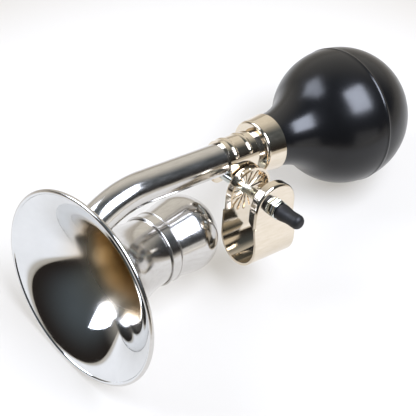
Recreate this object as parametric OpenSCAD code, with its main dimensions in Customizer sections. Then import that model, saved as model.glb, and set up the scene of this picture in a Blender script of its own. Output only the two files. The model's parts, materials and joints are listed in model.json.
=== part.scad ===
// Bulb horn for a handlebar. In the horn's own axes the tube runs along X with the bulb's centre at the
// origin, the bell hangs below the tube, and the clamp faces -Y. The finished horn is then moved so that
// the origin is in the middle of the clamp's loop, with X along the handlebar.

/* [Bell] */
// Diameter of the mouth, over its rolled edge
bell_d = 100; // [92:1:106]
// Length of the curved flare, from the mouth to the waist
flare_l = 43.5; // [42:0.5:48]
// Outside diameter of the waist
waist_d = 34.4; // [32:0.2:38]
// Length of the straight waist, from the flare to the end of the bell
waist_l = 3; // [2:0.5:6]
// Thickness of the bell's sheet
bell_wall = 0.8; // [0.6:0.1:1.2]
// Thickness of the rolled edge
rim_roll_d = 2.4; // [2:0.2:3.2]
// Turn of the bell to the side, against the tube
bell_yaw = 4.7; // [0:0.1:6]
// Rise of the bell's rear end towards the tube
bell_rise = 3.4; // [0:0.1:5]

/* [Rear cap] */
// Largest diameter of the rear cap
cap_d = 39.4; // [37:0.2:42]
// Length of the rear cap, from the end of the bell to its tip
cap_l = 34; // [31:0.2:38]
// Radius of the round edge of the cap's end
cap_round = 15; // [12:0.5:16]
// Thickness of the cap's sheet
cap_wall = 0.8; // [0.6:0.1:1.2]
// Length of the band over the joint of bell and cap
band_l = 6.8; // [5:0.2:9]
// Thickness of the band
band_wall = 0.4; // [0.3:0.1:0.8]
// Gap all round under the band, filled with solder
band_gap = 0.15; // [0.13:0.01:0.2]
// Height of the beads at the band's two edges
bead_h = 0.5; // [0.4:0.1:1]

/* [Tube] */
// Outside diameter of the tube
tube_d = 16; // [14:0.5:17]
// Wall of the tube
tube_wall = 1; // [0.8:0.1:1.4]
// Distance from the bulb's centre to the plane of the mouth
reach = 164.7; // [160:0.1:170]
// Drop from the tube's axis to the middle of the mouth
bell_drop = 42.3; // [41:0.1:44]
// Radius of the bend, at the middle of the tube
bend_r = 47; // [43:1:50]
// Distance from the plane of the mouth back to the start of the bend
bend_start = 36.5; // [35:0.5:40]
// Angle that the tube bends down by
bend_a = 40; // [36:1:42]
// Distance from the bulb's centre to the tube's end in the bulb
tube_end = 47; // [45:0.5:49]

/* [Bulb] */
// Diameter of the bulb
bulb_d = 70; // [64:1:74]
// Wall of the rubber
bulb_wall = 3; // [2:0.5:4]
// Outside diameter of the neck, at the ferrule's open edge
neck_d = 27; // [25:0.2:28]
// Length of straight neck between the ferrule and the hollow curve to the bulb
neck_out = 0.6; // [0.2:0.1:4]
// Height of the moulding seam
seam_h = 0.3; // [0.2:0.1:0.6]
// Distance from the bulb's centre to the front of the ferrule
ferrule_x = 61.3; // [60:0.1:63]
// Length of the ferrule
ferrule_l = 10.6; // [9:0.2:12]
// Flare of the ferrule towards the bulb, in diameter
ferrule_flare = 2; // [1:0.1:2.4]
// Sheet of the ferrule
ferrule_wall = 0.8; // [0.6:0.1:1]
// Radius of the ferrule's rounded front edge
ferrule_round = 1.4; // [1:0.1:1.6]
// Wall of the sleeve inside the neck
sleeve_wall = 1.2; // [0.8:0.1:1.6]

/* [Reed] */
// Diameter of the shallot, the trough that the tongue beats on
shallot_d = 6.4; // [5:0.2:7]
// Wall of the shallot
shallot_wall = 0.7; // [0.5:0.1:1]
// Length of the shallot, out of its holder
shallot_l = 22; // [18:0.5:26]
// Thickness of the tongue
tongue_t = 0.3; // [0.2:0.05:0.4]
// Width of the tongue
tongue_w = 4.4; // [3.6:0.2:5]
// Length of the holder inside the tube
holder_l = 9; // [7:0.5:12]
// Length of the clip that holds the tongue
clip_ring_l = 4; // [3:0.5:5]

/* [Tube clip] */
// Width of the clip along the tube
clip_w = 18; // [17:0.2:19]
// Sheet of the clip
clip_t = 1.2; // [1:0.1:1.6]
// Gap between the clip and the ferrule
clip_gap = 2.8; // [2:0.1:4]
// Drop from the tube's axis to the bolt
bolt_drop = 14; // [13:0.1:15]
// Radius of the clip's ears round the bolt
clip_ear_r = 6; // [5.5:0.1:7]
// Turn of the clip round the tube, with the bolt's nut end down
clip_turn = 2; // [0:0.5:3]
// Height of the two ribs over the top of the clip
rib_h = 0.5; // [0.4:0.1:0.8]
// Width of the ribs
rib_w = 2.8; // [2:0.1:3]
// Distance of the first rib from the clip's edge on the bell's side
rib_in = 4; // [3.5:0.5:5]
// Distance between the two ribs
rib_step = 9; // [8:0.5:9.5]
// Angle that each rib runs round the tube
rib_a = 120; // [90:10:150]

/* [Handlebar clamp] */
// Diameter of the handlebar
bar_d = 22.2; // [20:0.1:25.4]
// Width of the strap
strap_w = 25.6; // [24:0.2:26]
// Sheet of the strap
strap_t = 1.2; // [1:0.1:1.6]
// Drop from the bolt to the handlebar's axis
loop_drop = 20; // [18:0.2:22]
// Distance that the front ear is set in from the loop's front
ear_set = 1.5; // [1:0.5:3.5]
// Depth of the flange turned in round each ear
flange_l = 4.8; // [3:0.2:6]
// Drop from the bolt to the end of the flange
flange_drop = 10; // [8:0.5:14]
// Outer radius of the bend between an ear and its flange
ear_round = 1.6; // [1.4:0.1:2]
// Number of flutes pressed into the back ear
flute_count = 16; // [12:1:20]
// Depth of the flutes
flute_h = 0.5; // [0.3:0.1:0.7]
// Width of the flutes at their round outer ends
flute_w = 2.6; // [2:0.1:3]

/* [Bolt] */
// Diameter of the bolt's thread
bolt_d = 5; // [4:0.5:6]
// Diameter of the bolt's round head
head_d = 12; // [10:0.5:14]
// Height of the bolt's head
head_h = 2.8; // [2:0.2:4]
// Width of the nut across its flats
nut_af = 9; // [8:0.5:10]
// Height of the nut
nut_h = 3; // [3:0.5:5]
// Length of bolt that stands out of the nut
bolt_out = 9; // [8:0.5:10]
// Diameter of the rubber cap at its open end
bolt_cap_d = 8.4; // [8:0.2:9]
// Diameter of the rubber cap near its tip
bolt_cap_tip_d = 7.2; // [6.8:0.2:7.6]
// Length of the rubber cap
bolt_cap_l = 14; // [13:0.2:16]

/* [Fits] */
// Gap all round between pieces that are soldered or pressed together
seat_gap = 0.02; // [0.01:0.01:0.05]
// Gap all round between a turning piece and its shaft
run_gap = 0.06; // [0.03:0.01:0.1]
// Gap between flat faces that slide on each other
slide_gap = 0.1; // [0.05:0.05:0.3]

/* [Hidden] */
$fn = 96;
over = 1;
bell_r = bell_d / 2;
waist_r = waist_d / 2;
flare_end_r = bell_r - rim_roll_d / 2;
flare_step = flare_end_r - waist_r;
flare_r = (flare_l * flare_l + flare_step * flare_step) / (2 * flare_step);
bell_l = flare_l + waist_l;
tube_r = tube_d / 2;
bore_r = tube_r - tube_wall;
bulb_r = bulb_d / 2;
neck_r = neck_d / 2;
sleeve_r = tube_r + seat_gap + sleeve_wall;
clip_x = -(ferrule_x + clip_gap + clip_w / 2);
clip_face = tube_r + run_gap + clip_t;
strap_back = clip_face + slide_gap + flute_h;
strap_front = strap_back + 2 * strap_t + bar_d;
loop_y = (strap_back + strap_front) / 2;
ear_front = strap_front - ear_set;
ear_r = strap_w / 2;
side_end = 2 - flange_drop;
bolt_r = bolt_d / 2;
nut_face = ear_front + slide_gap;
bolt_tip = nut_face + nut_h + bolt_out;
cap_face = nut_face + nut_h + slide_gap;
neck_front = -(ferrule_x - ferrule_wall - seat_gap);
neck_front_r = neck_r - ferrule_flare / 2;
neck_curve_x = ferrule_l + neck_out - ferrule_x;
neck_curve_r = (pow(neck_curve_x, 2) - pow(bulb_r, 2) + pow(neck_r, 2)) / (2 * (bulb_r - neck_r));
holder_flange = 1.5;
shallot_r = shallot_d / 2;
shallot_flat = 0.56 * shallot_r;
reed_x = -tube_end + holder_flange;
tongue_z = shallot_flat + slide_gap;

// Turns a shape made along Z to lie along X
module along_x() { rotate([0, 90, 0]) children(); }

// Places a shape on the bell's axis, with Z from the mouth to the rear
module at_bell() {
    translate([-reach, 0, -bell_drop]) rotate([0, -bell_rise, 0]) rotate([0, 0, bell_yaw])
        along_x() children();
}

// Places a shape on the clip, with X along the tube from the clip's middle
module at_clip() { translate([clip_x, 0, 0]) rotate([clip_turn, 0, 0]) children(); }

// Places a shape on the bolt, with Z towards the nut and Y up
module at_bolt() { at_clip() translate([0, 0, -bolt_drop]) rotate([90, 0, 0]) children(); }

// Brings the middle of the clamp's loop to the origin
module place() {
    drop = bolt_drop + loop_drop;
    side = loop_y * cos(clip_turn) - drop * sin(clip_turn);
    down = loop_y * sin(clip_turn) + drop * cos(clip_turn);
    translate([-clip_x, side, down]) children();
}

// Section of the bell, filled to its axis, with its skin moved in by inset
module bell_section(inset) {
    difference() {
        translate([0, -inset]) square([flare_end_r, flare_l + inset]);
        translate([waist_r + flare_r, flare_l]) circle(flare_r + inset);
    }
    translate([0, flare_l - inset]) square([waist_r - inset, waist_l + 2 * inset]);
}

// Round bar as thick as the tube or its bore, from the bulb's end into the flare
module tube_path(r) {
    bend_x = bend_start - reach;
    translate([bend_x, 0, 0]) along_x() cylinder(r = r, h = -bend_x - tube_end);
    translate([bend_x, 0, -bend_r]) rotate([90, 0, 0]) rotate([0, 0, 90])
        rotate_extrude(angle = bend_a) translate([bend_r, 0]) circle(r);
}

module bell() {
    color("gainsboro") place() difference() {
        at_bell() rotate_extrude() {
            difference() {
                bell_section(0);
                bell_section(bell_wall);
            }
            translate([flare_end_r, 0]) circle(d = rim_roll_d);
        }
        tube_path(bore_r);
    }
}

module horn_tube() {
    color("silver") place() difference() {
        tube_path(tube_r);
        tube_path(bore_r);
        at_bell() rotate_extrude() bell_section(-seat_gap);
    }
}

// Section of the rear cap, filled to its axis, with its skin moved in by inset. From the band its wall widens
// straight to the round edge, which it meets without a corner.
module cap_section(inset) {
    neck_end = [waist_r, bell_l + band_l / 2];
    centre = [cap_d / 2 - cap_round, bell_l + cap_l - cap_round];
    arm = centre - neck_end;
    turn = atan2(arm.y, arm.x) - asin(cap_round / norm(arm));
    edge_r = cap_round - inset;
    neck = waist_r - inset;
    polygon([[0, bell_l - inset], [neck, bell_l - inset], [neck, neck_end.y + inset * tan(45 - turn / 2)],
        centre + edge_r * [sin(turn), -cos(turn)], centre, centre + [0, edge_r], [0, centre.y + edge_r]]);
    intersection() {
        translate(centre) circle(edge_r);
        translate(centre - [0, edge_r]) square([cap_round, 2 * edge_r]);
    }
}

module rear_cap() {
    color("gainsboro") place() at_bell() rotate_extrude() difference() {
        cap_section(0);
        cap_section(cap_wall);
    }
}

module joint_band() {
    inner_r = waist_r + band_gap;
    color("whitesmoke") place() at_bell() translate([0, 0, bell_l - band_l / 2]) rotate_extrude() {
        translate([inner_r, 0]) square([band_wall, band_l]);
        for (y = [bead_h, band_l - bead_h]) translate([inner_r + band_wall, y]) circle(bead_h);
    }
}

// Bulb with the curve to its neck, solid to the axis, with its skin moved in by inset
module bulb_form(inset) {
    centre = [neck_r + neck_curve_r, neck_curve_x];
    share = (bulb_r - inset) / (bulb_r + neck_curve_r);
    sphere(bulb_r - inset);
    rotate_extrude() difference() {
        polygon([[0, 0], share * centre, centre, [0, neck_curve_x]]);
        translate(centre) circle(neck_curve_r + inset);
    }
}

module bulb() {
    neck_l = neck_curve_x - neck_front;
    edge = ferrule_l - ferrule_x;
    color("#1c1c1e") place() along_x() difference() {
        union() {
            bulb_form(0);
            rotate_extrude() polygon([[0, neck_front], [neck_front_r, neck_front], [neck_r, edge],
                [neck_r, neck_curve_x], [0, neck_curve_x]]);
            rotate_extrude() translate([bulb_r, 0]) circle(seam_h);
        }
        bulb_form(bulb_wall);
        translate([0, 0, neck_front - over]) cylinder(r = sleeve_r + seat_gap, h = neck_l + 2 * over);
    }
}

module bulb_ferrule() {
    hole_r = tube_r + seat_gap;
    inner_r = neck_r + seat_gap;
    front_r = neck_front_r + seat_gap;
    front_out = front_r + ferrule_wall;
    round_r = front_out - ferrule_round;
    color("#d9cfba") place() along_x() translate([0, 0, -ferrule_x]) rotate_extrude() difference() {
        union() {
            polygon([[hole_r, 0], [round_r, 0], [front_out, ferrule_round],
                [inner_r + ferrule_wall, ferrule_l], [inner_r, ferrule_l], [hole_r, ferrule_round]]);
            translate([round_r, ferrule_round]) circle(ferrule_round);
        }
        polygon([[0, ferrule_wall], [front_r, ferrule_wall], [inner_r, ferrule_l], [0, ferrule_l]]);
    }
}

module neck_sleeve() {
    color("goldenrod") place() along_x() translate([0, 0, neck_front]) rotate_extrude()
        translate([tube_r + seat_gap, 0]) square([sleeve_wall, -tube_end - neck_front]);
}

module reed_holder() {
    color("goldenrod") place() along_x() translate([0, 0, -tube_end]) difference() {
        union() {
            translate([0, 0, -holder_l]) cylinder(r = bore_r - seat_gap, h = holder_l);
            cylinder(r = tube_r, h = holder_flange);
        }
        translate([0, 0, -holder_l - over])
            cylinder(r = shallot_r + seat_gap, h = holder_l + 2 * over + holder_flange);
    }
}

module reed_shallot() {
    color("darkgoldenrod") place() difference() {
        translate([reed_x - holder_l - holder_flange, 0, 0]) along_x()
            cylinder(r = shallot_r, h = holder_l + holder_flange + shallot_l);
        translate([reed_x - holder_l - holder_flange - over, 0, 0]) along_x()
            cylinder(r = shallot_r - shallot_wall, h = holder_l + holder_flange + shallot_l);
        translate([reed_x, -shallot_r, shallot_flat]) cube([shallot_l + over, shallot_d, shallot_r]);
    }
}

module reed_tongue() {
    color("gold") place() translate([reed_x + slide_gap, -tongue_w / 2, tongue_z])
        cube([shallot_l - 2 * shallot_wall, tongue_w, tongue_t]);
}

module reed_clip() {
    inner_r = shallot_r + seat_gap;
    bed = tongue_z + tongue_t + slide_gap;
    color("peru") place() translate([reed_x + slide_gap, 0, 0]) difference() {
        along_x() cylinder(r = inner_r + shallot_wall, h = clip_ring_l);
        intersection() {
            translate([-over, 0, 0]) along_x() cylinder(r = inner_r, h = clip_ring_l + 2 * over);
            translate([-over, -shallot_d, bed - 2 * shallot_d])
                cube([clip_ring_l + 2 * over, 2 * shallot_d, 2 * shallot_d]);
        }
    }
}

// Outline of the clip across the tube, a saddle with straight sides, at the radius r
module saddle_outline(r) {
    circle(r);
    translate([-r, -bolt_drop - clip_w]) square([2 * r, bolt_drop + clip_w]);
}

// Outline of the clip seen along the bolt: as wide as the saddle above, with round ears below
module clip_side() {
    half = clip_w / 2;
    slope = asin((half - clip_ear_r) / bolt_drop);
    circle(clip_ear_r);
    top = bolt_drop + 2 * clip_face;
    side = clip_ear_r * cos(slope);
    low = -clip_ear_r * sin(slope);
    polygon([[-side, low], [side, low], [half, bolt_drop], [half, top], [-half, top], [-half, bolt_drop]]);
}

// Rib over the top of the clip, with a round end at each side
module clip_rib() {
    rib_r = (rib_w * rib_w / 4 + rib_h * rib_h) / (2 * rib_h);
    middle = clip_face + rib_h - rib_r;
    start = 90 - rib_a / 2;
    rotate([90, 0, 90]) rotate([0, 0, start]) rotate_extrude(angle = rib_a)
        translate([middle, 0]) circle(rib_r);
    for (a = [start, start + rib_a]) rotate([a, 0, 0]) translate([0, middle, 0]) sphere(rib_r);
}

module tube_clip() {
    half = clip_w / 2;
    color("#d9cfba") place() difference() {
        union() {
            intersection() {
                at_clip() translate([-half, 0, 0]) rotate([90, 0, 90])
                    linear_extrude(clip_w) saddle_outline(clip_face);
                at_bolt() translate([0, 0, -clip_face]) linear_extrude(2 * clip_face) clip_side();
            }
            for (x = [rib_in, rib_in + rib_step]) at_clip() translate([x - half, 0, 0]) clip_rib();
        }
        at_clip() translate([-half - over, 0, 0]) rotate([90, 0, 90])
            linear_extrude(clip_w + 2 * over) saddle_outline(tube_r + run_gap);
        at_bolt() translate([0, 0, -clip_face - over])
            cylinder(r = bolt_r + seat_gap, h = 2 * (clip_face + over));
    }
}

// Outline of one side of the strap, as wide as the flat of its round ear down to the flange's end
module ear_outline() {
    flat_r = ear_r - ear_round;
    circle(flat_r);
    translate([-flat_r, -loop_drop]) square([2 * flat_r, loop_drop]);
    translate([-ear_r, -loop_drop]) square([strap_w, loop_drop + side_end]);
}

// Section of an ear's bend and flange, with X from the ear's middle and Y in from its outer face
module flange_section() {
    flat_r = ear_r - ear_round;
    inner_r = ear_r - strap_t;
    difference() {
        union() {
            translate([flat_r, ear_round]) circle(ear_round);
            translate([flat_r - strap_t, 0]) square(strap_t);
            translate([inner_r, ear_round]) square([strap_t, flange_l - ear_round]);
        }
        translate([0, strap_t]) square([inner_r, flange_l]);
    }
}

// Flange round an ear, with Z from the outer face to the inside of the loop
module ear_flange() {
    rotate_extrude(angle = 180) flange_section();
    intersection() {
        rotate([90, 0, 0]) linear_extrude(flange_drop) {
            flange_section();
            mirror([1, 0]) flange_section();
        }
        translate([-ear_r - over, 0, 0]) rotate([90, 0, 90]) linear_extrude(strap_w + 2 * over)
            polygon([[-flange_drop, 0], [0, 0], [0, flange_l], [flange_l - flange_drop, flange_l]]);
    }
}

// Section of the loop's front side across the bolt, straight beside the handlebar and set in at the ear
module front_side() {
    low = -loop_drop + 4;
    inner = strap_front - strap_t;
    polygon([[-loop_drop, inner], [-loop_drop, strap_front], [low, strap_front], [side_end, ear_front],
        [ear_r, ear_front], [ear_r, ear_front - strap_t], [side_end, ear_front - strap_t], [low, inner]]);
}

// Round flutes pressed about the bolt's hole, out to the radius r, wider towards their ends. They stand
// on the sheet's face at zero and reach down into the sheet. Each is a cone with a level crest.
module flutes(r) {
    sink = strap_t / 2;
    end_w = flute_w * r / (ear_r - strap_t);
    end_r = (end_w * end_w / 4 + flute_h * flute_h) / (2 * flute_h);
    flute_l = norm([r - slide_gap - end_w / 2, end_r]);
    slope = asin(end_r / flute_l);
    intersection() {
        translate([0, 0, -sink]) cylinder(r = r, h = sink + flute_h + over);
        for (i = [0 : flute_count - 1]) rotate([0, 0, i * 360 / flute_count])
            translate([0, 0, flute_h]) rotate([0, 90 + slope, 0]) {
                cylinder(r1 = 0, r2 = end_r, h = flute_l);
                translate([0, 0, flute_l]) sphere(end_r);
            }
    }
}

module handlebar_clamp() {
    color("#e0d7c4") place() at_bolt() difference() {
        union() {
            translate([0, 0, strap_back]) linear_extrude(strap_t) ear_outline();
            intersection() {
                linear_extrude(strap_front + over) ear_outline();
                translate([-ear_r, 0, 0]) rotate([90, 0, 90]) linear_extrude(strap_w) front_side();
            }
            translate([0, -loop_drop, loop_y]) rotate([0, 90, 0]) rotate([0, 0, 180])
                rotate_extrude(angle = 180) translate([bar_d / 2, -ear_r]) square([strap_t, strap_w]);
            translate([0, 0, strap_back]) ear_flange();
            translate([0, 0, ear_front]) mirror([0, 0, 1]) ear_flange();
            translate([0, 0, strap_back]) mirror([0, 0, 1]) flutes(clip_ear_r);
            translate([0, 0, strap_back + strap_t]) flutes(ear_r - strap_t - slide_gap);
        }
        cylinder(r = bolt_r + run_gap, h = strap_front + over);
    }
}

module clamp_bolt() {
    dome_r = (head_d * head_d / 4 + head_h * head_h) / (2 * head_h);
    seat = -clip_face - seat_gap;
    chamfer = 0.8;
    color("#9fa8a3") place() at_bolt() {
        intersection() {
            translate([0, 0, seat - head_h + dome_r]) sphere(dome_r);
            translate([0, 0, seat - head_h]) cylinder(d = head_d, h = head_h);
        }
        translate([0, 0, seat]) cylinder(r = bolt_r, h = bolt_tip - chamfer - seat);
        translate([0, 0, bolt_tip - chamfer]) cylinder(r1 = bolt_r, r2 = bolt_r - chamfer, h = chamfer);
    }
}

module clamp_nut() {
    corner_r = nut_af / 2 / cos(30);
    bevel = corner_r - nut_af / 2;
    color("#a8b0ab") place() at_bolt() translate([0, 0, nut_face]) difference() {
        intersection() {
            linear_extrude(nut_h) circle(corner_r, $fn = 6);
            rotate_extrude() polygon([[0, 0], [nut_af / 2, 0], [corner_r, bevel], [corner_r, nut_h - bevel],
                [nut_af / 2, nut_h], [0, nut_h]]);
        }
        translate([0, 0, -over]) cylinder(r = bolt_r + run_gap, h = nut_h + 2 * over);
    }
}

module bolt_cap() {
    base_r = bolt_cap_d / 2;
    tip_r = bolt_cap_tip_d / 2;
    base_round = 1.2;
    tip_round = 2.6;
    tip_gap = 0.4;
    color("#202022") place() at_bolt() translate([0, 0, cap_face]) rotate_extrude() difference() {
        union() {
            polygon([[0, 0], [base_r - base_round, 0], [base_r, base_round], [tip_r, bolt_cap_l - tip_round],
                [tip_r - tip_round, bolt_cap_l], [0, bolt_cap_l]]);
            translate([base_r - base_round, base_round]) circle(base_round);
            translate([tip_r - tip_round, bolt_cap_l - tip_round]) circle(tip_round);
        }
        translate([-over, -over]) square([over + bolt_r + run_gap, over + bolt_out + tip_gap]);
        translate([-bolt_cap_d, -over]) square([bolt_cap_d, bolt_cap_l + 2 * over]);
    }
}

bell();
joint_band();
rear_cap();
horn_tube();
bulb_ferrule();
neck_sleeve();
bulb();
reed_holder();
reed_shallot();
reed_tongue();
reed_clip();
tube_clip();
handlebar_clamp();
clamp_bolt();
clamp_nut();
bolt_cap();
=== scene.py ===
"""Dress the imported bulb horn: plated sheet metal, rubber and brass, with its ground, light and camera.

Sizes are in millimetres and angles in degrees, unless a docstring or a name that ends in _m says metres.
"""

import json
import logging
import math
from dataclasses import dataclass
from enum import Enum
from typing import Any, Optional, Sequence

import bpy
from mathutils import Matrix, Vector

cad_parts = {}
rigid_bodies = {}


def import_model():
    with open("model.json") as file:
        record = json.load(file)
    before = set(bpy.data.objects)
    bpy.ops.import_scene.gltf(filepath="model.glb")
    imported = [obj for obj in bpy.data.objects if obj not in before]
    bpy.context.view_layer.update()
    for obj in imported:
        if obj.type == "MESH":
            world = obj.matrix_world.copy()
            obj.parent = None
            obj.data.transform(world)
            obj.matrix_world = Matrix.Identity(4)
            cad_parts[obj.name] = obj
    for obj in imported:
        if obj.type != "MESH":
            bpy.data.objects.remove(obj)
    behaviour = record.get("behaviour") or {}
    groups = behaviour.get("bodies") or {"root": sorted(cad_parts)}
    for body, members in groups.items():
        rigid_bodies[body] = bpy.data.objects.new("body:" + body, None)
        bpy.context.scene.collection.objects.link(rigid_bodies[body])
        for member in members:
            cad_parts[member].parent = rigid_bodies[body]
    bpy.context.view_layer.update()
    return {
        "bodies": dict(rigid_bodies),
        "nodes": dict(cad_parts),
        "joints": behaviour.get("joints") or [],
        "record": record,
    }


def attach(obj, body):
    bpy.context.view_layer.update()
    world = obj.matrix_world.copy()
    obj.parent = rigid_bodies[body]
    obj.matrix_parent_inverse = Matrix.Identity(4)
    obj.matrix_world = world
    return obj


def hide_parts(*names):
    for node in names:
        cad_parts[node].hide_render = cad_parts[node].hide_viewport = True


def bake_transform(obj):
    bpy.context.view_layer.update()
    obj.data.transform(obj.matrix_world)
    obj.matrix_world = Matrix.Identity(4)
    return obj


Point = tuple[float, float]
Pair = tuple[float, float]
Triple = tuple[float, float, float]

LOG = logging.getLogger("bulb_horn")
MM = 0.001
# The sRGB curve: straight up to the knee, then a power.
SRGB_KNEE, SRGB_SLOPE, SRGB_SHIFT, SRGB_POWER = 0.04045, 12.92, 0.055, 2.4
# Half the width across a hexagon's flats, where its corners lie at 1.
HEX_FLAT = math.cos(math.pi / 6)

# Settings that several nodes share.
SMOOTH = {"interpolation_type": "SMOOTHSTEP"}
ALONG = {"operation": "DOT_PRODUCT"}
COLOURS = {"data_type": "RGBA"}
NUMBERS = {"data_type": "FLOAT"}
# Sockets of the Vector Math, Mix Shader and Mix nodes, where names repeat and only numbers tell them apart.
VECTOR_A, VECTOR_B = 0, 1
SHADER_A, SHADER_B = 1, 2
MIX_SHARE, MIX_NUMBER_A, MIX_NUMBER_B, MIX_COLOUR_A, MIX_COLOUR_B = 0, 2, 3, 6, 7
MIX_NUMBER_OUT, MIX_COLOUR_OUT = 0, 2
# Noise of a finish's marks and of its grain, and how deep the grain is.
MARK_NOISE = {"Detail": 5.0, "Roughness": 0.6}
GRAIN_NOISE = {"Detail": 3.0, "Roughness": 0.55}
GRAIN_DEPTH_MM = 0.1
# Part of the marks' noise over which the gloss changes.
MARK_LOW, MARK_HIGH = 0.3, 0.7

# Points closer than this are one: on a turned piece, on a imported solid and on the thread's section.
TURNED_MERGE_MM, SOLID_MERGE_MM, THREAD_MERGE_MM = 0.004, 0.002, 0.001
# Edges up to this angle are shaded smooth on a turned piece, in degrees.
TURNED_SHARP = 35.0
# Rounding of a solid: faces within FLAT degrees are joined, edges over ROUNDED degrees get ROUND_STEPS,
# and large faces lead the shading by FACE_WEIGHT.
FLAT, ROUNDED, ROUND_STEPS, FACE_WEIGHT = 0.6, 32.0, 3, 80


class Body(Enum):
    """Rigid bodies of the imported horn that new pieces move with."""

    CLAMP = "clamp"
    BRACKET = "bracket"
    HORN = "horn"
    BULB = "bulb"
    NUT = "nut"
    CAP = "cap"


class Slot(Enum):
    """Material slots of the record that new pieces take their finish from."""

    CHROME = "chrome"
    NICKEL = "nickel"
    ZINC = "zinc"
    RUBBER = "black_rubber"


def linear(code: str) -> tuple[float, float, float, float]:
    """Turn an sRGB hex colour into linear values.

    Args:
        code: Six hex digits, with or without a leading hash.

    Returns:
        Red, green, blue and alpha, all linear.
    """
    digits = code.lstrip("#")
    shares = [int(digits[i : i + 2], 16) / 255 for i in (0, 2, 4)]
    red, green, blue = [
        s / SRGB_SLOPE if s <= SRGB_KNEE else ((s + SRGB_SHIFT) / (1 + SRGB_SHIFT)) ** SRGB_POWER
        for s in shares
    ]
    return red, green, blue, 1.0


def add_node(
    tree: bpy.types.NodeTree,
    kind: str,
    settings: Optional[dict[str, Any]] = None,
    values: Optional[dict[Any, Any]] = None,
    links: Optional[dict[Any, bpy.types.NodeSocket]] = None,
) -> bpy.types.Node:
    """Add a node with its settings, input values and links.

    Args:
        tree: Node tree that gets the node.
        kind: Blender's name of the node's class.
        settings: Properties of the node.
        values: Input socket to constant.
        links: Input socket to the output that feeds it.

    Returns:
        The new node.
    """
    node = tree.nodes.new(kind)
    for name, value in (settings or {}).items():
        setattr(node, name, value)
    for name, value in (values or {}).items():
        node.inputs[name].default_value = value
    for name, source in (links or {}).items():
        tree.links.new(source, node.inputs[name])
    return node


@dataclass(frozen=True)
class Fade:
    """Plating that thins out along a line, from full plating to the bare metal under it."""

    name: str
    start: Vector
    way: Vector
    from_mm: float
    to_mm: float
    bare: str
    bare_rough: float

    def blend(
        self,
        tree: bpy.types.NodeTree,
        place: bpy.types.NodeSocket,
        tint: bpy.types.NodeSocket,
        gloss: bpy.types.NodeSocket,
    ) -> tuple[bpy.types.NodeSocket, bpy.types.NodeSocket]:
        """Mix the bare metal into a colour and a roughness.

        Args:
            tree: Node tree of the material.
            place: Place on the object.
            tint: Colour of the full plating.
            gloss: Roughness of the full plating.

        Returns:
            The mixed colour and roughness.
        """
        along = add_node(tree, "ShaderNodeVectorMath", ALONG, {VECTOR_B: self.way}, {VECTOR_A: place})
        zero = self.start.dot(self.way)
        ends = {"From Min": zero + self.from_mm * MM, "From Max": zero + self.to_mm * MM}
        fade = add_node(tree, "ShaderNodeMapRange", SMOOTH, ends, {"Value": along.outputs["Value"]})
        share = fade.outputs["Result"]
        colour = add_node(
            tree,
            "ShaderNodeMix",
            COLOURS,
            {MIX_COLOUR_B: linear(self.bare)},
            {MIX_SHARE: share, MIX_COLOUR_A: tint},
        )
        rough = add_node(
            tree,
            "ShaderNodeMix",
            NUMBERS,
            {MIX_NUMBER_B: self.bare_rough},
            {MIX_SHARE: share, MIX_NUMBER_A: gloss},
        )
        return colour.outputs[MIX_COLOUR_OUT], rough.outputs[MIX_NUMBER_OUT]


@dataclass(frozen=True)
class Finish:
    """A surface: its common name, its colours and roughness, and the real size of its marks and grain."""

    name: str
    light: str
    dark: str
    rough: Pair
    mark_mm: float
    grain_mm: float
    bump: float
    stretch: Triple = (1.0, 1.0, 1.0)
    metallic: float = 1.0
    specular: float = 0.5

    def material(self, wear: Optional[Fade] = None) -> bpy.types.Material:
        """Build the procedural material.

        Args:
            wear: How this finish gives way to bare metal along a line, if it does.

        Returns:
            A material whose colour and roughness drift over marks of mark_mm, with a grain of grain_mm.
        """
        made = bpy.data.materials.new(self.name if wear is None else wear.name)
        made.use_nodes = True
        tree = made.node_tree
        shader = tree.nodes["Principled BSDF"]
        shader.inputs["Metallic"].default_value = self.metallic
        if not self.metallic:
            shader.inputs["Specular IOR Level"].default_value = self.specular
        place = add_node(tree, "ShaderNodeTexCoord").outputs["Object"]
        scaled = add_node(tree, "ShaderNodeMapping", None, {"Scale": self.stretch}, {"Vector": place})
        spot = {"Vector": scaled.outputs["Vector"]}
        marks, grain = [
            add_node(
                tree, "ShaderNodeTexNoise", None, {"Scale": 1 / (size * MM), **noise}, spot
            ).outputs["Fac"]
            for size, noise in ((self.mark_mm, MARK_NOISE), (self.grain_mm, GRAIN_NOISE))
        ]
        colour = add_node(
            tree,
            "ShaderNodeMix",
            COLOURS,
            {MIX_COLOUR_A: linear(self.light), MIX_COLOUR_B: linear(self.dark)},
            {MIX_SHARE: marks},
        )
        low, high = self.rough
        rough = add_node(
            tree,
            "ShaderNodeMapRange",
            values={"From Min": MARK_LOW, "From Max": MARK_HIGH, "To Min": low, "To Max": high},
            links={"Value": marks},
        )
        tint, gloss = colour.outputs[MIX_COLOUR_OUT], rough.outputs["Result"]
        if wear is not None:
            tint, gloss = wear.blend(tree, place, tint, gloss)
        tree.links.new(tint, shader.inputs["Base Color"])
        tree.links.new(gloss, shader.inputs["Roughness"])
        depth = {"Strength": self.bump, "Distance": GRAIN_DEPTH_MM * MM}
        bump = add_node(tree, "ShaderNodeBump", values=depth, links={"Height": grain})
        tree.links.new(bump.outputs["Normal"], shader.inputs["Normal"])
        return made


# Bright chrome on spun steel, inside the bell: a near mirror, cooler than nickel, with faint smears.
CHROME = Finish(
    "chrome_plate",
    light="#e6e8ea",
    dark="#d9dbdd",
    rough=(0.03, 0.08),
    mark_mm=9.0,
    grain_mm=1.4,
    bump=0.012,
)
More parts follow.
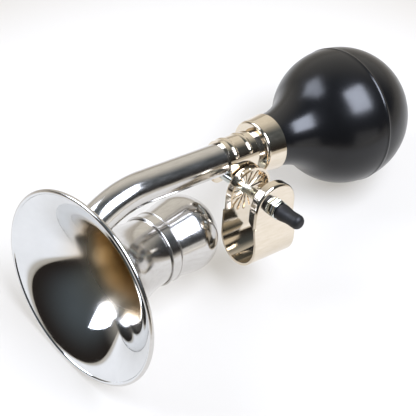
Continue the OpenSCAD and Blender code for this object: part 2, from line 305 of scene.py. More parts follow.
# Chrome on less polished steel, on the tube and the backs: greyer and satin, with lines along the tube.
SATIN = Finish(
    "satin_chrome",
    light="#dad8d5",
    dark="#c3c0bc",
    rough=(0.12, 0.20),
    mark_mm=7.0,
    grain_mm=0.8,
    bump=0.02,
    stretch=(1.0, 4.0, 4.0),
)
# Polished nickel on pressed steel: warm cream, softer than chrome, with rolling marks along the strip.
NICKEL = Finish(
    "nickel_plate",
    light="#ebe2d3",
    dark="#dacdb9",
    rough=(0.06, 0.13),
    mark_mm=6.0,
    grain_mm=0.9,
    bump=0.015,
    stretch=(1.0, 5.0, 5.0),
)
# Bright zinc on a turned nut and a rolled thread: pale grey with a faint green cast, half dull.
ZINC = Finish(
    "zinc_plate",
    light="#d6dad7",
    dark="#bfc6c2",
    rough=(0.12, 0.22),
    mark_mm=2.5,
    grain_mm=0.4,
    bump=0.03,
)
# Drawn brass of the reed, bare: yellow, half dull, with lines along the drawing.
BRASS = Finish(
    "drawn_brass",
    light="#caa45c",
    dark="#a8803f",
    rough=(0.18, 0.36),
    mark_mm=2.0,
    grain_mm=0.4,
    bump=0.05,
    stretch=(1.0, 6.0, 6.0),
)
# Bare brown steel inside the rear cap, where no plating reaches: dull, with stains.
BARE = Finish(
    "bare_steel",
    light="#d8bb88",
    dark="#b09062",
    rough=(0.40, 0.60),
    mark_mm=5.0,
    grain_mm=0.8,
    bump=0.06,
)
# Moulded natural rubber with carbon black: satin, almost black, with a fine dusty bloom.
RUBBER = Finish(
    "moulded_rubber",
    light="#111112",
    dark="#0c0c0d",
    rough=(0.19, 0.27),
    mark_mm=14.0,
    grain_mm=0.5,
    bump=0.03,
    metallic=0.0,
    specular=0.4,
)
# Soft dipped rubber of the bolt cap: nearly as black as the bulb, but matt.
SOFT = Finish(
    "soft_rubber",
    light="#161617",
    dark="#101011",
    rough=(0.45, 0.58),
    mark_mm=3.0,
    grain_mm=0.4,
    bump=0.04,
    metallic=0.0,
    specular=0.4,
)


def arc(centre: Point, radius: float, start: float, stop: float, steps: int) -> list[Point]:
    """Points on a circle's arc.

    Args:
        centre: Middle of the circle.
        radius: Radius of the circle.
        start: First angle, in degrees.
        stop: Last angle, in degrees.
        steps: Number of equal steps.

    Returns:
        The points from the first angle to the last.
    """
    turns = [math.radians(start + (stop - start) * i / steps) for i in range(steps + 1)]
    return [(centre[0] + radius * math.cos(t), centre[1] + radius * math.sin(t)) for t in turns]


def deselect() -> None:
    """Leave edit mode and clear the selection."""
    if bpy.context.object is not None and bpy.context.object.mode != "OBJECT":
        bpy.ops.object.mode_set(mode="OBJECT")
    bpy.ops.object.select_all(action="DESELECT")


def pick(piece: bpy.types.Object) -> None:
    """Select one piece alone and make it active.

    Args:
        piece: The piece that the next operators act on.
    """
    deselect()
    piece.select_set(True)
    bpy.context.view_layer.objects.active = piece


def edit_all() -> None:
    """Edit the active piece, with its whole mesh selected."""
    bpy.ops.object.mode_set(mode="EDIT")
    bpy.ops.mesh.select_all(action="SELECT")


def settle(piece: bpy.types.Object, place: Matrix) -> None:
    """Put a piece in its place and leave its object at the origin.

    Args:
        piece: Object whose mesh is made in its own axes.
        place: Where those axes lie in the row frame.
    """
    pick(piece)
    piece.matrix_world = place
    bpy.ops.object.transform_apply(location=True, rotation=True, scale=True)


def smooth(piece: bpy.types.Object, angle: float) -> None:
    """Shade a piece smooth, with edges over the angle kept sharp.

    Args:
        piece: Mesh object.
        angle: Largest angle that is smoothed, in degrees.
    """
    pick(piece)
    bpy.ops.object.shade_smooth_by_angle(angle=math.radians(angle))


def finish_modifier(piece: bpy.types.Object, kind: str, **settings: Any) -> None:
    """Add a modifier with its settings and apply it.

    Args:
        piece: Mesh object.
        kind: Blender's name of the modifier.
        **settings: Properties of the modifier.
    """
    pick(piece)
    modifier = piece.modifiers.new(kind.lower(), kind)
    for name, value in settings.items():
        setattr(modifier, name, value)
    bpy.ops.object.modifier_apply(modifier=modifier.name)


def cut(piece: bpy.types.Object, cutter: bpy.types.Object) -> None:
    """Cut one closed shape out of another, and remove the cutter.

    Args:
        piece: Mesh object that is cut.
        cutter: Closed mesh object that isn't needed again.
    """
    finish_modifier(piece, "BOOLEAN", operation="DIFFERENCE", object=cutter)
    bpy.data.objects.remove(cutter)


def draw_profile(name: str, points: Sequence[Point]) -> bpy.types.Object:
    """Draw a profile of edges in the XZ plane, X outwards and Z along the axis.

    Args:
        name: Name of the new object.
        points: Radius and length along the axis of each corner, in millimetres.

    Returns:
        The object, in edit mode, with the last corner selected.
    """
    deselect()
    bpy.ops.mesh.primitive_plane_add(size=MM)
    piece = bpy.context.object
    piece.name = piece.data.name = name
    edit_all()
    bpy.ops.mesh.merge(type="CENTER")
    here = Vector((points[0][0], 0.0, points[0][1])) * MM
    bpy.ops.transform.translate(value=here)
    for radius, length in points[1:]:
        there = Vector((radius, 0.0, length)) * MM
        bpy.ops.mesh.extrude_region_move(TRANSFORM_OT_translate={"value": there - here})
        here = there
    return piece


def lathe(
    name: str, points: Sequence[Point], place: Matrix, steps: int, angle: float = TURNED_SHARP
) -> bpy.types.Object:
    """Spin a profile into a round piece.

    Args:
        name: Name of the piece.
        points: Radius and length along the axis of each corner, in millimetres.
        place: Where the axis (Z) lies in the row frame.
        steps: Facets round the piece.
        angle: Edges over this angle stay sharp, in degrees.

    Returns:
        The finished piece.
    """
    piece = draw_profile(name, points)
    edit_all()
    bpy.ops.mesh.spin(steps=steps, angle=2 * math.pi, center=(0, 0, 0), axis=(0, 0, 1))
    edit_all()
    bpy.ops.mesh.remove_doubles(threshold=TURNED_MERGE_MM * MM)
    bpy.ops.mesh.normals_make_consistent(inside=False)
    settle(piece, place)
    smooth(piece, angle)
    return piece


def refine_copy(node: bpy.types.Object, name: str, edge_mm: float, sharp: float) -> bpy.types.Object:
    """Copy a solid's mesh and round its sharp edges.

    Args:
        node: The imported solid.
        name: Name of the piece.
        edge_mm: Width of the rounding.
        sharp: Edges over this angle stay crisp after the rounding, in degrees.

    Returns:
        The rounded copy.
    """
    pick(node)
    bpy.ops.object.duplicate()
    piece = bpy.context.object
    piece.parent = None
    piece.name = piece.data.name = name
    for key in [k for k in piece.keys() if k.startswith("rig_")]:
        del piece[key]
    bpy.ops.mesh.customdata_custom_splitnormals_clear()
    edit_all()
    bpy.ops.mesh.remove_doubles(threshold=SOLID_MERGE_MM * MM)
    bpy.ops.mesh.dissolve_limited(angle_limit=math.radians(FLAT))
    finish_modifier(
        piece,
        "BEVEL",
        width=edge_mm * MM,
        segments=ROUND_STEPS,
        limit_method="ANGLE",
        angle_limit=math.radians(ROUNDED),
        use_clamp_overlap=True,
        miter_outer="MITER_ARC",
    )
    smooth(piece, sharp)
    finish_modifier(piece, "WEIGHTED_NORMAL", keep_sharp=True, weight=FACE_WEIGHT)
    return piece


def dress(piece: bpy.types.Object, material: bpy.types.Material) -> None:
    """Give a new piece its one material.

    Args:
        piece: Mesh object.
        material: Material of the whole piece.
    """
    piece.data.materials.clear()
    piece.data.materials.append(material)


@dataclass(frozen=True)
class Axis:
    """A line through the horn, in metres in the row frame."""

    start: Vector
    way: Vector

    @classmethod
    def of_joint(cls, frame: dict[str, Any], name: str) -> "Axis":
        """Take the line that a joint turns about.

        Args:
            name: Name of a hinge.

        Returns:
            The hinge's line.
        """
        joint = next(j for j in frame["joints"] if j["name"] == name)
        return cls(Vector(joint["pos_m"]), Vector(joint["axis"]).normalized())

    def point(self, along_mm: float) -> Vector:
        """Give the point at a distance from the start."""
        return self.start + self.way * along_mm * MM

    def place(self, along_mm: float = 0.0) -> Matrix:
        """Place a round piece on the line, with its Z along it.

        Args:
            along_mm: Distance of the piece's own zero from the start.

        Returns:
            The place in the row frame.
        """
        turn = self.way.to_track_quat("Z", "Y").to_matrix().to_4x4()
        return Matrix.Translation(self.point(along_mm)) @ turn

    def turned(self, angle: float) -> Matrix:
        """Turn about the line.

        Args:
            angle: How far, in degrees.

        Returns:
            The turn in the row frame.
        """
        here = Matrix.Translation(self.start)
        return here @ Matrix.Rotation(math.radians(angle), 4, self.way) @ here.inverted()


@dataclass
class RubberBulb:
    """The hollow rubber ball with its neck, in millimetres from its middle along the tube."""

    tube: Axis
    radius: float = 35.0
    neck: float = 13.5
    neck_front: float = 12.5
    neck_edge: float = 0.3
    neck_out: float = 0.6
    front: float = -60.4
    ferrule_edge: float = -50.7
    bore: float = 9.26
    seam: float = 0.3
    seam_half: float = 1.1
    seam_steps: int = 4
    give_from: float = 4.0
    near_steps: int = 24
    far_steps: int = 40
    facets: int = 144
    sharp: float = 50.0

    def profile(self) -> list[Point]:
        """Outline from the bore in the neck to the far pole.

        Returns:
            Radius and length along the axis of each corner.
        """
        start = self.ferrule_edge + self.neck_out
        curve = (start**2 - self.radius**2 + self.neck**2) / (2 * (self.radius - self.neck))
        middle = (self.neck + curve, start)
        lean = math.degrees(math.atan2(-middle[1], -middle[0]))
        touch = math.degrees(math.atan2(middle[1], middle[0]))
        edge = math.degrees(self.seam_half / self.radius)
        half = self.seam_steps
        ridge = [(k / half, math.cos(math.pi * k / (2 * half)) ** 2) for k in range(1 - half, half)]
        outline = [(0.0, start), (self.bore, start), (self.bore, self.front)]
        outline += [(self.neck_front - self.neck_edge, self.front)]
        outline += [(self.neck_front, self.front + self.neck_edge), (self.neck, self.ferrule_edge)]
        outline += arc(middle, curve, 180.0, lean, self.near_steps)
        outline += arc((0.0, 0.0), self.radius, touch, -edge, self.near_steps)[1:]
        outline += [(self.radius + self.seam * high, self.seam_half * along) for along, high in ridge]
        outline += arc((0.0, 0.0), self.radius, edge, 90.0, self.far_steps)[:-1]
        return outline + [(0.0, self.radius)]

    def build(self, rubber: bpy.types.Material) -> list[bpy.types.Object]:
        """Make the bulb in place of the imported one.

        Args:
            rubber: Material of the bulb.

        Returns:
            The bulb.
        """
        piece = lathe("rubber_bulb", self.profile(), self.tube.place(), self.facets, self.sharp)
        dress(piece, rubber)
        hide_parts("bulb")
        start, end = self.tube.point(self.ferrule_edge + self.give_from), self.tube.point(self.radius)
        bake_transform(piece)
        return [piece]


@dataclass
class ThreadedBolt:
    """The bolt with its round head and rolled thread, in millimetres from the tube's middle plane."""

    bolt: Axis
    radius: float = 2.5
    pitch: float = 0.8
    depth: float = 0.36
    head_r: float = 6.0
    head_h: float = 2.8
    head_edge: tuple[Pair, ...] = ((0.12, 0.4), (0.0, 0.2), (0.2, 0.0))
    dome_trim: float = 4.0
    dome_steps: int = 12
    seat: float = -9.28
    thread_from: float = 26.0
    run_out: float = 0.4
    tip: float = 45.06
    tip_edge: Pair = (0.5, 0.3)
    tip_bare: float = 1.0
    sink: float = 0.03
    flat: float = 0.06
    facets: int = 64
    wind_steps: int = 36
    shank_sharp: float = 30.0
    thread_sharp: float = 40.0

    def build(self, zinc: bpy.types.Material) -> list[bpy.types.Object]:
        """Make the head with its shank, and the thread round it.

        Args:
            zinc: Material of the bolt.

        Returns:
            The shank and the thread.
        """
        dome = (self.head_r**2 + self.head_h**2) / (2 * self.head_h)
        top = self.seat - self.head_h
        half = math.degrees(math.asin(self.head_r / dome)) - self.dome_trim
        outline = [(0.0, top)]
        outline += arc((0.0, top + dome), dome, self.dome_trim - 90.0, half - 90.0, self.dome_steps)
        outline += [(self.head_r - inwards, self.seat - back) for inwards, back in self.head_edge]
        core = self.radius - self.depth
        outline += [(self.radius, self.seat), (self.radius, self.thread_from)]
        outline += [(core, self.thread_from + self.run_out), (core, self.tip - self.tip_edge[1])]
        outline += [(core - self.tip_edge[0], self.tip), (0.0, self.tip)]
        piece = lathe("bolt_shank", outline, self.bolt.place(), self.facets, self.shank_sharp)
        dress(piece, zinc)
        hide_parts("clamp_bolt")
        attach(piece, Body.BRACKET.value)
        return [piece, self.thread(zinc)]

    def thread(self, zinc: bpy.types.Material) -> bpy.types.Object:
        """Wind the thread's ridge along the shank.

        Args:
            zinc: Material of the bolt.

        Returns:
            The thread.
        """
        core = self.radius - self.depth - self.sink
        crest, half = self.radius - self.sink, self.pitch / 2
        ridge = [(core, self.flat), (crest, half - self.flat), (crest, half + self.flat)]
        ridge += [(core, self.pitch - self.flat), (core, self.flat)]
        piece = draw_profile("bolt_thread", ridge)
        edit_all()
        bpy.ops.mesh.remove_doubles(threshold=THREAD_MERGE_MM * MM)
        bpy.ops.mesh.edge_face_add()
        turns = int((self.tip - self.tip_bare - self.thread_from) / self.pitch)
        finish_modifier(
            piece,
            "SCREW",
            axis="Z",
            angle=2 * math.pi,
            screw_offset=self.pitch * MM,
            iterations=turns,
            steps=self.wind_steps,
            render_steps=self.wind_steps,
            use_merge_vertices=True,
        )
        edit_all()
        bpy.ops.mesh.normals_make_consistent(inside=False)
        settle(piece, self.bolt.place(self.thread_from + self.run_out))
        smooth(piece, self.thread_sharp)
        dress(piece, zinc)
        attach(piece, Body.BRACKET.value)
        return piece


@dataclass
class BoltCap:
    """The push-on rubber cap over the bolt's end, in millimetres from its open end."""

    bolt: Axis
    face: float = 36.16
    base_r: float = 4.2
    tip_r: float = 3.6
    length: float = 14.0
    bore: float = 2.56
    depth: float = 9.4
    foot_in: float = 1.0
    lip: float = 1.6
    lip_round: float = 0.8
    lip_from: float = -80.0
    lip_steps: int = 6
    waist: float = 0.35
    tip_round: float = 2.6
    tip_to: float = 84.0
    steps: int = 12
    facets: int = 64
    sharp: float = 40.0

    def build(self, rubber: bpy.types.Material) -> list[bpy.types.Object]:
        """Make the cap with its moulded lip and its slight waist.

        Args:
            rubber: Material of the cap.

        Returns:
            The cap.
        """
        outline = [(0.0, self.depth), (self.bore, self.depth), (self.bore, 0.0)]
        outline += [(self.base_r - self.foot_in, 0.0)]
        lip = (self.base_r - self.lip_round, self.lip_round)
        outline += arc(lip, self.lip_round, self.lip_from, 0.0, self.lip_steps)
        rise = self.length - self.tip_round - self.lip
        for i in range(self.steps + 1):
            share = i / self.steps
            taper = self.base_r + (self.tip_r - self.base_r) * share
            outline.append((taper - self.waist * math.sin(math.pi * share) ** 2, self.lip + rise * share))
        tip = (self.tip_r - self.tip_round, self.length - self.tip_round)
        outline += arc(tip, self.tip_round, 0.0, self.tip_to, self.steps)[1:] + [(0.0, self.length)]
        piece = lathe("rubber_cap", outline, self.bolt.place(self.face), self.facets, self.sharp)
        dress(piece, rubber)
        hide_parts("bolt_cap")
        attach(piece, Body.CAP.value)
        return [piece]


@dataclass
class SpunBell:
    """The spun bell and the round cap behind it, in millimetres from the mouth along the bell's axis."""

    tube: Axis
    reach: float = 164.7
    drop: float = 42.3
    yaw: float = 4.7
    rise: float = 3.4
    mouth_r: float = 50.0
    roll_r: float = 1.2
    roll_turn: float = 270.0
    waist_r: float = 17.2
    flare_l: float = 43.5
    waist_l: float = 3.0
    wall: float = 0.8
    cap_r: float = 19.7
    cap_l: float = 34.0
    cap_round: float = 15.0
    band_l: float = 6.8
    bend_start: float = 36.5
    bend_r: float = 47.0
    bend_a: float = 40.0
    bore_r: float = 7.0
    bare_from: float = 8.0
    bare_to: float = 34.0
    bare: str = "#dfc598"
    bare_rough: float = 0.42
    roll_steps: int = 24
    flare_steps: int = 56
    inner_steps: int = 40
    outer_steps: int = 56
    wall_steps: int = 12
    bend_steps: int = 24
    bore_facets: int = 64
    bell_facets: int = 192
    cap_facets: int = 128

    def axis(self) -> Axis:
        """Line from the middle of the mouth to the rear.

        Returns:
            The bell's line.
        """
        yaw, rise = math.radians(self.yaw), math.radians(self.rise)
        way = Vector((math.cos(rise) * math.cos(yaw), math.sin(yaw), math.sin(rise) * math.cos(yaw)))
        return Axis(self.tube.start + Vector((-self.reach, 0.0, -self.drop)) * MM, way)

    def flare(self) -> tuple[Point, float]:
        """Middle and radius of the arc that the outside of the flare follows.

        Returns:
            The middle, as radius and length along the axis, and the arc's radius.
        """
        step = self.mouth_r - self.roll_r - self.waist_r
        radius = (self.flare_l**2 + step**2) / (2 * step)
        return (self.waist_r + radius, self.flare_l), radius

    def bell_outline(self) -> list[Point]:
        """Closed outline of the sheet, from the waist's end down the inside and back up the outside.

        Returns:
            Radius and length along the axis of each corner.
        """
        middle, radius = self.flare()
        lip_r = self.mouth_r - self.roll_r
        end = self.flare_l + self.waist_l
        lip = math.degrees(math.atan2(-middle[1], lip_r - middle[0])) + 360
        inside = lip - math.degrees(math.acos(self.wall / self.roll_r))
        roll = arc((lip_r, 0.0), self.roll_r, inside, lip + self.roll_turn, self.roll_steps)
        ends = (roll[0], roll[-1])
        turns = [math.degrees(math.atan2(z - middle[1], r - middle[0])) + 360 for r, z in ends]
        outline = [(self.waist_r - self.wall, end)]
        outline += arc(middle, radius + self.wall, 180.0, turns[0], self.flare_steps)[:-1] + roll
        outline += arc(middle, radius, turns[1], 180.0, self.flare_steps)[1:]
        return outline + [(self.waist_r, end), (self.waist_r - self.wall, end)]

    def cap_outline(self) -> list[Point]:
        """Outline of the cap's sheet, from its inner pole to the neck and back to its outer pole.

        Returns:
            Radius and length along the axis of each corner.
        """
        end = self.flare_l + self.waist_l
        neck = (self.waist_r, end + self.band_l / 2)
        middle = (self.cap_r - self.cap_round, end + self.cap_l - self.cap_round)
        arm = (middle[0] - neck[0], middle[1] - neck[1])
        turn = math.degrees(math.atan2(arm[1], arm[0]) - math.asin(self.cap_round / math.hypot(*arm)))
        lift = self.wall * math.tan(math.radians(45 - turn / 2))
        inside = arc(middle, self.cap_round - self.wall, 90.0, turn - 90, self.inner_steps)
        outside = arc(middle, self.cap_round, turn - 90, 90.0, self.outer_steps)
        outline = [(0.0, inside[0][1])] + inside + [(neck[0] - self.wall, neck[1] + lift)]
        outline += [(neck[0] - self.wall, end), (neck[0], end)]
        for i in range(self.wall_steps):
            share = i / self.wall_steps
            outline.append(tuple(a + (b - a) * share for a, b in zip(neck, outside[0])))
        return outline + outside + [(0.0, outside[-1][1])]

    def bore(self) -> bpy.types.Object:
        """Make the bent bar that cuts the tube's bore into the flare.

        Returns:
            A closed bar, as thick as the bore.
        """
        start = self.tube.point(self.bend_start - self.reach)
        deselect()
        bpy.ops.mesh.primitive_circle_add(
            vertices=self.bore_facets,
            radius=self.bore_r * MM,
            fill_type="NGON",
            location=start,
            rotation=(0, math.pi / 2, 0),
        )
        bar = bpy.context.object
        edit_all()
        middle = start - Vector((0.0, 0.0, self.bend_r * MM))
        bend = math.radians(self.bend_a)
        bpy.ops.mesh.spin(steps=self.bend_steps, angle=bend, center=middle, axis=(0, -1, 0))
        edit_all()
        bpy.ops.mesh.normals_make_consistent(inside=False)
        bpy.ops.object.mode_set(mode="OBJECT")
        return bar

    def line(self, piece: bpy.types.Object, bare: bpy.types.Material) -> None:
        """Give the inside of a round piece its own finish.

        Args:
            piece: Bell or cap, already dressed.
            bare: Finish of the inside.
        """
        piece.data.materials.append(bare)
        axis = self.axis()
        for face in piece.data.polygons:
            arm = Vector(face.center) - axis.start
            along = arm.dot(axis.way)
            outwards = arm - axis.way * along + axis.way * self.tilt(along)
            face.material_index = 1 if face.normal.dot(outwards) < 0 else 0

    def tilt(self, along: float) -> float:
        """Weight of the axis in the outward direction: none at the flare, rearwards in the round cap."""
        middle = (self.flare_l + self.waist_l + self.cap_l - self.cap_round) * MM
        return max(0.0, along - middle)

    def build(self, satin: bpy.types.Material) -> list[bpy.types.Object]:
        """Spin the bell with the tube's opening, and the cap, and line both.

        Args:
            satin: Material of the outside.

        Returns:
            The bell and the cap.
        """
        axis = self.axis()
        thin = Fade(
            "thin_chrome", axis.start, axis.way, self.bare_from, self.bare_to, self.bare, self.bare_rough
        )
        bell = lathe("spun_bell", self.bell_outline(), axis.place(), self.bell_facets)
        cut(bell, self.bore())
        smooth(bell, TURNED_SHARP)
        cap = lathe("round_cap", self.cap_outline(), axis.place(), self.cap_facets)
        plan = ((bell, "bell", CHROME.material(thin)), (cap, "rear_cap", BARE.material()))
        for piece, node, inside in plan:
            dress(piece, satin)
            self.line(piece, inside)
            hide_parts(node)
            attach(piece, Body.HORN.value)
        return [bell, cap]


@dataclass(frozen=True)
class Pressing:
    """A piece with rounded edges: its solid, name, finish and body, and how its edges are rounded."""

    node: str
    name: str
    slot: Slot
    body: Body
    edge: float
    sharp: float


@dataclass
class PressedBracket:
    """The clip, the strap clamp and the nut, with rounded edges, in millimetres."""

    bolt: Axis
    pressings: tuple[Pressing, ...] = (
        Pressing("tube_clip", "saddle_clip", Slot.NICKEL, Body.BRACKET, edge=0.3, sharp=40.0),
        Pressing("handlebar_clamp", "strap_clamp", Slot.NICKEL, Body.CLAMP, edge=0.35, sharp=40.0),
        Pressing("clamp_nut", "hex_nut", Slot.ZINC, Body.NUT, edge=0.15, sharp=24.0),
    )
    nut_turn: float = 16.0
    groove_l: float = 0.25
    groove_d: float = 0.25
    groove_over: float = 1.0
    groove_facets: int = 96

    def groove(self, nut: bpy.types.Object) -> None:
        """Turn the nut as it was left, and cut the line round its middle.

        Args:
            nut: The nut's piece.
        """
        settle(nut, self.bolt.turned(self.nut_turn))
        arms = [Vector(v.co) - self.bolt.start for v in nut.data.vertices]
        along = [arm.dot(self.bolt.way) / MM for arm in arms]
        corner = max((arm - self.bolt.way * arm.dot(self.bolt.way)).length for arm in arms) / MM
        middle, half = (min(along) + max(along)) / 2, self.groove_l / 2
        inner, outer = corner * HEX_FLAT - self.groove_d, corner + self.groove_over
        ring = [(inner, -half), (outer, -half), (outer, half), (inner, half), (inner, -half)]
        cut(nut, lathe("groove_ring", ring, self.bolt.place(middle), self.groove_facets))

    def build(
        self, nodes: dict[str, bpy.types.Object], nickel: bpy.types.Material, zinc: bpy.types.Material
    ) -> list[bpy.types.Object]:
        """Round the edges of the pressed pieces and of the nut.

        Args:
            nodes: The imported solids.
            nickel: Material of the clip and the strap.
            zinc: Material of the nut.

        Returns:
            The clip, the strap and the nut.
        """
        materials = {Slot.NICKEL: nickel, Slot.ZINC: zinc}
        pieces = []
        for plan in self.pressings:
            piece = refine_copy(nodes[plan.node], plan.name, plan.edge, plan.sharp)
            if plan.body is Body.NUT:
                self.groove(piece)
            dress(piece, materials[plan.slot])
            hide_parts(plan.node)
            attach(piece, plan.body.value)
            pieces.append(piece)
        return pieces


@dataclass
class PlatedHorn:
    """The band, tube and ferrule, and the reed inside, which keep their own solids."""

    satin_nodes: tuple[str, ...] = ("joint_band", "horn_tube")
    nickel_nodes: tuple[str, ...] = ("bulb_ferrule",)
    brass_nodes: tuple[str, ...] = (
        "neck_sleeve",
        "reed_holder",
        "reed_shallot",
        "reed_tongue",
        "reed_clip",
    )

    def dress(
        self,
        nodes: dict[str, bpy.types.Object],
        satin: bpy.types.Material,
        nickel: bpy.types.Material,
        brass: bpy.types.Material,
    ) -> list[bpy.types.Object]:
        """Give the solids their plating.

        Args:
            nodes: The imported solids.
            satin: Material of the band and the tube.
            nickel: Material of the ferrule.
            brass: Material of the neck sleeve and the reed.

        Returns:
            The plated solids.
        """
        plan = {name: satin for name in self.satin_nodes}
        plan |= {name: nickel for name in self.nickel_nodes}
        plan |= {name: brass for name in self.brass_nodes}
        for name, material in plan.items():
            for socket in nodes[name].material_slots:
                socket.material = material
        return [nodes[name] for name in plan]


@dataclass(frozen=True)
class Window:
    """A window or a bright card: its way to the camera's right, up and back, and its size in metres."""

    name: str
    way: Triple
    far: float
    size: Pair
    watts: float
    tint: str


@dataclass
class Studio:
    """Ground, light and camera: the camera and the ground in the tube's own axes, in millimetres."""

    middle: Vector
    camera: Triple = (-481.4, -440.3, 320.2)
    right: Triple = (0.762, -0.647, 0.044)
    down: Triple = (-0.298, -0.41, -0.862)
    focal_px: float = 1400.0
    frame_px: float = 416.0
    sensor: float = 36.0
    sight_m: Pair = (0.05, 20.0)
    ground_normal: Triple = (-0.30905, -0.30267, 0.9016)
    ground_drop: float = 35.35
    ground_shift: Triple = (-130.0, -50.0, -61.35)
    ground_size_m: float = 8.0
    # The paper's tone near the horn, a darker painted shade away from it over the fade's span in metres, its
    # roughness, and a glow that is painted light lifting its shadows.
    ground_near: str = "#a09d98"
    ground_far_shade: str = "#7b7468"
    ground_shade_fade_m: Pair = (0.2, 0.36)
    ground_rough: float = 0.9
    ground_glow: float = 1.2
    far_wall: str = "#eee9df"
    dark_low: str = "#2a2522"
    dark_high: str = "#52585b"
    dark_turn: Pair = (-0.95, -0.25)
    dark_rise: Pair = (0.0, 0.85)
    backdrop: str = "#fbfbfb"
    windows: tuple[Window, ...] = (
        Window("window_right", (0.45, 0.40, 0.80), far=1.6, size=(1.0, 1.15), watts=56.0, tint="#e2eafc"),
        Window("window_left", (-0.70, 0.60, 0.39), far=1.6, size=(0.9, 0.9), watts=23.0, tint="#e2eafc"),
        Window("white_card", (0.704, -0.534, 0.467), far=0.6, size=(0.42, 0.26), watts=0.28, tint="#fffdfa"),
    )

    def build(self) -> None:
        """Make the ground, the windows, the room and the camera."""
        self.build_ground()
        self.build_windows()
        self.build_room()
        self.build_camera()

    def axes(self) -> tuple[Vector, Vector, Vector]:
        """Camera's right, up and backward directions.

        Returns:
            Three unit vectors at right angles.
        """
        right = Vector(self.right).normalized()
        back = right.cross(-Vector(self.down)).normalized()
        return right, back.cross(right), back

    def paper(self) -> bpy.types.Material:
        """Build the ground's white paper, which glows a little as painted light that lifts its shadows, and
        is clear from below.

        Returns:
            A material that fades to a darker painted shade away from the horn, which the plating mirrors.
        """
        # Matt white paper with no gloss: pale near the horn, where its glow, a painted light, lifts the soft
        # shadows, and darker further off, as painted shade.
        paper = bpy.data.materials.new("white_paper_glow_and_shade")
        paper.use_nodes = True
        tree = paper.node_tree
        shader = tree.nodes["Principled BSDF"]
        shader.inputs["Roughness"].default_value = self.ground_rough
        # Painted light: the paper glows in its own colour, which lifts its shadows.
        shader.inputs["Emission Strength"].default_value = self.ground_glow
        spot = add_node(tree, "ShaderNodeTexCoord").outputs["Object"]
        away = add_node(tree, "ShaderNodeVectorMath", {"operation": "LENGTH"}, links={VECTOR_A: spot})
        # Painted shade: the paper darkens with distance from the horn.
        near, far = self.ground_shade_fade_m
        fade = add_node(
            tree,
            "ShaderNodeMapRange",
            SMOOTH,
            {"From Min": near, "From Max": far},
            {"Value": away.outputs["Value"]},
        )
        tone_and_shade = add_node(
            tree,
            "ShaderNodeMix",
            COLOURS,
            {MIX_COLOUR_A: linear(self.ground_near), MIX_COLOUR_B: linear(self.ground_far_shade)},
            {MIX_SHARE: fade.outputs["Result"]},
        ).outputs[MIX_COLOUR_OUT]
        tree.links.new(tone_and_shade, shader.inputs["Base Color"])
        tree.links.new(tone_and_shade, shader.inputs["Emission Color"])
        clear = add_node(tree, "ShaderNodeBsdfTransparent")
        side = add_node(tree, "ShaderNodeNewGeometry").outputs["Backfacing"]
        sides = {MIX_SHARE: side, SHADER_A: shader.outputs["BSDF"], SHADER_B: clear.outputs["BSDF"]}
        mixed = add_node(tree, "ShaderNodeMixShader", links=sides)
        tree.links.new(mixed.outputs["Shader"], tree.nodes["Material Output"].inputs["Surface"])
        return paper

    def build_ground(self) -> None:
        """Lay the pale ground under the mouth and the bulb."""
        normal = Vector(self.ground_normal).normalized()
        deselect()
        bpy.ops.mesh.primitive_plane_add(size=self.ground_size_m)
        ground = bpy.context.object
        ground.name = "pale_ground"
        turn = normal.to_track_quat("Z", "Y").to_matrix().to_4x4()
        near = self.middle - normal * self.ground_drop * MM + Vector(self.ground_shift) * MM
        ground.matrix_world = Matrix.Translation(near) @ turn
        ground.data.materials.append(self.paper())

    def build_windows(self) -> None:
        """Set the windows where their reflections lie on the bulb, and the white card."""
        right, up, back = self.axes()
        for window in self.windows:
            lamp = bpy.data.lights.new(window.name, "AREA")
            lamp.shape = "RECTANGLE"
            lamp.size, lamp.size_y = window.size
            lamp.energy = window.watts
            lamp.color = linear(window.tint)[:3]
            made = bpy.data.objects.new(window.name, lamp)
            bpy.context.scene.collection.objects.link(made)
            x, y, z = window.way
            way = (right * x + up * y + back * z).normalized()
            made.location = way * window.far
            made.rotation_euler = way.to_track_quat("Z", "Y").to_euler()
            made.visible_camera = False

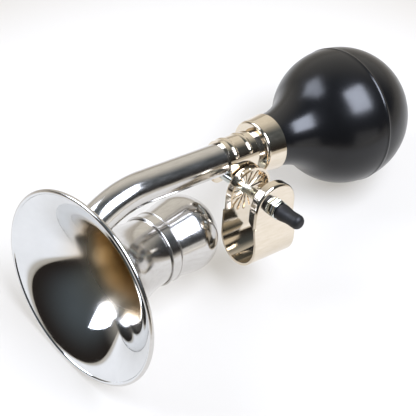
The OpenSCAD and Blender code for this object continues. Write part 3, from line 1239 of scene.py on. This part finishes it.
    def build_room(self) -> None:
        """Surround the horn with a warm far wall and a dark near side, for the plating to mirror."""
        back = self.axes()[2]
        normal = Vector(self.ground_normal).normalized()
        aim = (back - normal * back.dot(normal)).normalized()
        world = bpy.data.worlds.new("grey_room")
        bpy.context.scene.world = world
        world.use_nodes = True
        tree = world.node_tree
        way = add_node(tree, "ShaderNodeTexCoord").outputs["Generated"]
        shares = []
        for line, (start, stop) in ((aim, self.dark_turn), (normal, self.dark_rise)):
            along = add_node(tree, "ShaderNodeVectorMath", ALONG, {VECTOR_B: line}, {VECTOR_A: way})
            share = add_node(
                tree,
                "ShaderNodeMapRange",
                SMOOTH,
                {"From Min": start, "From Max": stop},
                {"Value": along.outputs["Value"]},
            )
            shares.append(share.outputs["Result"])
        near, rise = shares
        shadow = add_node(
            tree,
            "ShaderNodeMix",
            COLOURS,
            {MIX_COLOUR_A: linear(self.dark_low), MIX_COLOUR_B: linear(self.dark_high)},
            {MIX_SHARE: rise},
        )
        walls = add_node(
            tree,
            "ShaderNodeMix",
            COLOURS,
            {MIX_COLOUR_A: linear(self.far_wall)},
            {MIX_SHARE: near, MIX_COLOUR_B: shadow.outputs[MIX_COLOUR_OUT]},
        )
        seen = add_node(tree, "ShaderNodeLightPath").outputs["Is Camera Ray"]
        shown = add_node(
            tree,
            "ShaderNodeMix",
            COLOURS,
            {MIX_COLOUR_B: linear(self.backdrop)},
            {MIX_SHARE: seen, MIX_COLOUR_A: walls.outputs[MIX_COLOUR_OUT]},
        )
        tree.links.new(shown.outputs[MIX_COLOUR_OUT], tree.nodes["Background"].inputs["Color"])

    def build_camera(self) -> None:
        """Stand the camera where the photograph was taken."""
        right, up, back = self.axes()
        lens = bpy.data.cameras.new("photo_camera")
        lens.sensor_width = self.sensor
        lens.lens = lens.sensor_width * self.focal_px / self.frame_px
        lens.clip_start, lens.clip_end = self.sight_m
        stand = bpy.data.objects.new("photo_camera", lens)
        bpy.context.scene.collection.objects.link(stand)
        turn = Matrix((right, up, back)).transposed().to_4x4()
        stand.matrix_world = Matrix.Translation(self.middle + Vector(self.camera) * MM) @ turn
        bpy.context.scene.camera = stand
        bpy.context.scene.view_settings.view_transform = "Standard"


def main() -> None:
    """Build the studio and dress the horn, piece by piece."""
    logging.basicConfig(level=logging.INFO, format="%(name)s: %(message)s")
    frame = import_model()
    nodes = frame["nodes"]
    tube, bolt = Axis.of_joint(frame, "collar_turn"), Axis.of_joint(frame, "nut_turn")
    Studio(tube.start).build()
    satin, nickel, zinc, brass, rubber = [f.material() for f in (SATIN, NICKEL, ZINC, BRASS, RUBBER)]
    pieces = PlatedHorn().dress(nodes, satin, nickel, brass)
    pieces += SpunBell(tube).build(satin)
    pieces += PressedBracket(bolt).build(nodes, nickel, zinc)
    pieces += ThreadedBolt(bolt).build(zinc)
    pieces += BoltCap(bolt).build(SOFT.material())
    pieces += RubberBulb(tube).build(rubber)
    for piece in pieces:
        LOG.info("%s: %d faces", piece.name, len(piece.data.polygons))


if __name__ == "__main__":
    main()
